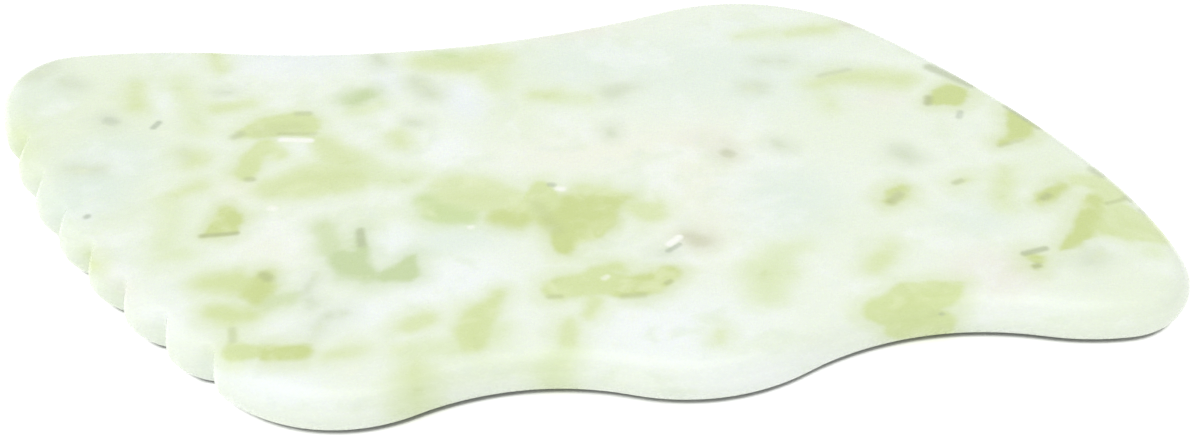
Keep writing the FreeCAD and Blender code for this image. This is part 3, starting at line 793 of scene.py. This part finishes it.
def polishedStoneMaterial():
    material, tree = newMaterial("polishedStone")
    flat, place = veinPlace(tree)
    mottle, mark = mottleGroup(), markGroup()

    def mottled(colour, rows):
        for tint, scale, low, high, share in rows:
            colour = placeGroup(tree, mottle, Colour=colour, Tint=linearColour(*tint), Place=place,
                                Scale=scale, From=low, To=high, Share=share).outputs["Colour"]
        return colour

    def read(name, output="Fac"):
        return addNode(tree, "Attribute", attribute_name=name).outputs[output]

    def blend(share, under, over):
        return addNode(tree, "Mix", {0: share, 6: under, 7: over}, data_type="RGBA").outputs[2]

    ground = mottled(read("groundTint", "Color"), stoneFinish["groundMottles"])
    tint = read("patchTint", "Color")
    patch = mottled(tint, stoneFinish["patchMottles"])
    core = rise(tree, read("patchDepth"), *stoneFinish["coreDepths"], stoneFinish["coreShare"])
    patch = blend(core, patch, linearColour(*stoneFinish["core"]))

    ragged = addNode(tree, "TexNoise", {
        "Vector": place, "Scale": minerals["ragged"]["scale"], "Detail": 2.0, "Roughness": 0.55,
    })
    wander = addNode(tree, "MapRange", {
        "Value": ragged.outputs[0], "From Min": 0.3, "From Max": 0.7,
        "To Min": -minerals["ragged"]["swing"], "To Max": minerals["ragged"]["swing"],
    }, clamp=False).outputs[0]
    depth = addNode(tree, "Math", {0: read("patchDepth"), 1: wander}, operation="ADD").outputs[0]
    share = addNode(tree, "Math", {0: depth, 1: read("patchKeenness")}, operation="MULTIPLY").outputs[0]
    halo, edge = minerals["halo"], minerals["edge"]
    near = addNode(tree, "Math", {0: wander, 1: halo["swing"], 2: read("edgeDepth")},
                   operation="MULTIPLY_ADD").outputs[0]
    colour = blend(rise(tree, near, -halo["reach"], 0.0, halo["share"]), ground, tint)
    colour = blend(rise(tree, share, -edge, edge), colour, patch)

    for name, start, end, radius, softness, share in minerals["marks"]:
        run = (end[0] - start[0], end[1] - start[1], 0)
        colour = placeGroup(
            tree, mark, Colour=colour, Tint=linearColour(*minerals["tints"][name]), Place=flat,
            Start=(*start, 0), Run=run, Radius=radius, Reach=radius + softness, Share=share,
        ).outputs["Colour"]

    worn = addNode(tree, "TexNoise", {"Vector": place, "Scale": 1.4, "Detail": 3.0})
    gloss = addNode(tree, "MapRange", {
        "Value": worn.outputs[0],
        "To Min": stoneFinish["roughness"] - stoneFinish["roughnessSwing"],
        "To Max": stoneFinish["roughness"] + stoneFinish["roughnessSwing"],
    }).outputs[0]
    bump = addNode(tree, "Bump", {
        "Height": worn.outputs[0], "Strength": stoneFinish["polishBump"],
        "Distance": stoneFinish["polishDepth"] * mm,
    }).outputs[0]
    shader = addNode(tree, "BsdfPrincipled", {
        "Base Color": colour,
        "Roughness": gloss,
        "Normal": bump,
        "IOR": stoneFinish["ior"],
        "Subsurface Weight": stoneFinish["subsurface"],
        "Subsurface Radius": stoneFinish["subsurfaceColours"],
        "Subsurface Scale": stoneFinish["subsurfaceDepth"] * mm,
    })
    addNode(tree, "OutputMaterial", {"Surface": shader.outputs["BSDF"]})
    return material


board, boardPoints = closedMesh("polishedStone", boardSurface())
print("board made,", len(board.data.vertices), "vertices,", len(board.data.polygons), "faces")
paintPatches(board.data, boardPoints)
board.data.materials.append(polishedStoneMaterial())
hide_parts("scraper_board")
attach(board, "root")
print("stone made")

# ---- table and light

tableTop = {
    "half": 1500.0,  # mm
    "colour": 0.9,
    "paintedContactShade": 0.45,  # painted shade: the table's colour where it runs in under the board, darker than the open table
    "paintedShadeRise": (0.3, 0.5),  # openness to the sky between which it turns from one to the other
    "glow": 0.5,  # seen but casting no light, so that the open table is plain white
    "glowRise": (0.4, 0.5),  # openness to the sky between which the glow comes in
    "contact": 0.8,  # mm round the board within which that glow gives way to its shadow
    "lean": (-0.4, 0.05, 0),  # added to the table's normal, the side from which it is lit there
}


def seenRays(tree):
    # one for rays from the camera, directly, in a reflection or through glass, nothing for those that light
    path = addNode(tree, "LightPath")
    seen = addNode(tree, "Math", {0: path.outputs["Is Camera Ray"], 1: path.outputs["Is Glossy Ray"]},
                   operation="MAXIMUM")
    return addNode(tree, "Math", {0: seen.outputs[0], 1: path.outputs["Is Transmission Ray"]},
                   operation="MAXIMUM").outputs[0]


def makeTable():
    # a flat square at the height of the board's lower face
    half = tableTop["half"]
    corners = np.array([(-half, -half), (half, -half), (half, half), (-half, half)])
    points = np.column_stack([corners, np.full(4, boardLow[2])]) * mm
    mesh = bpy.data.meshes.new("table")
    mesh.from_pydata(points.tolist(), [], [(0, 1, 2, 3)])
    table = bpy.data.objects.new("table", mesh)
    bpy.context.collection.objects.link(table)
    material, tree = newMaterial("whiteTable")
    normal = addNode(tree, "NewGeometry").outputs["Normal"]
    lean = addNode(tree, "VectorMath", {0: normal, 1: tableTop["lean"]})
    near = addNode(tree, "AmbientOcclusion", {
        "Distance": tableTop["contact"] * mm, "Normal": lean.outputs[0],
    }, samples=16)
    clear = rise(tree, near.outputs["AO"], *tableTop["glowRise"], tableTop["glow"])
    # painted shade: the table's own colour darkens near the board, more on the side away from the lean, on
    # top of the real shadow
    paintedContactShade = addNode(tree, "MapRange", {
        "Value": near.outputs["AO"],
        "From Min": tableTop["paintedShadeRise"][0], "From Max": tableTop["paintedShadeRise"][1],
        "To Min": tableTop["paintedContactShade"], "To Max": tableTop["colour"],
    })
    surface = addNode(tree, "BsdfDiffuse", {"Color": paintedContactShade.outputs["Result"]})
    glow = addNode(tree, "Math", {0: seenRays(tree), 1: clear}, operation="MULTIPLY")
    lit = addNode(tree, "Emission", {"Strength": glow.outputs[0]})
    both = addNode(tree, "AddShader", {0: surface.outputs[0], 1: lit.outputs[0]})
    addNode(tree, "OutputMaterial", {"Surface": both.outputs[0]})
    mesh.materials.append(material)


studio = {
    "sky": 1.1,  # mean level of the light from all round
    "slope": 0.25,  # how much stronger it is from the left, and weaker from the right
    # name, azimuth and elevation in degrees, distance, width, height in mm, watts
    "softboxes": [
        ("key", -30, 74, 1500, 1500, 1100, 4.2),
    ],
}


def makeLights():
    # each softbox looks at the middle of the board from its own direction
    for name, azimuth, elevation, distance, width, height, power in studio["softboxes"]:
        data = bpy.data.lights.new(name, "AREA")
        data.shape = "RECTANGLE"
        data.size, data.size_y = width * mm, height * mm
        data.energy = power
        lamp = bpy.data.objects.new(name, data)
        turn, lift = math.radians(azimuth), math.radians(elevation)
        level = math.cos(lift)
        place = np.array([math.sin(turn) * level, -math.cos(turn) * level, math.sin(lift)])
        lamp.location = place * distance * mm
        lamp.rotation_euler = (math.pi / 2 - lift, 0, turn)
        bpy.context.collection.objects.link(lamp)
    world = bpy.data.worlds.new("studio")
    world.use_nodes = True
    tree = world.node_tree
    tree.nodes.clear()
    across = addNode(tree, "SeparateXYZ", {0: addNode(tree, "TexCoord").outputs["Generated"]}).outputs["X"]
    light = addNode(tree, "MapRange", {
        "Value": across, "From Min": -1.0,
        "To Min": studio["sky"] * (1 + studio["slope"]), "To Max": studio["sky"] * (1 - studio["slope"]),
    })
    level = addNode(tree, "MapRange", {
        "Value": seenRays(tree), "To Min": light.outputs["Result"], "To Max": 1.0,
    })
    sky = addNode(tree, "Background", {"Strength": level.outputs["Result"]})
    addNode(tree, "OutputWorld", {"Surface": sky.outputs[0]})
    bpy.context.scene.world = world


makeTable()
makeLights()
bpy.context.scene.view_settings.view_transform = "Standard"
print("table and lights placed")
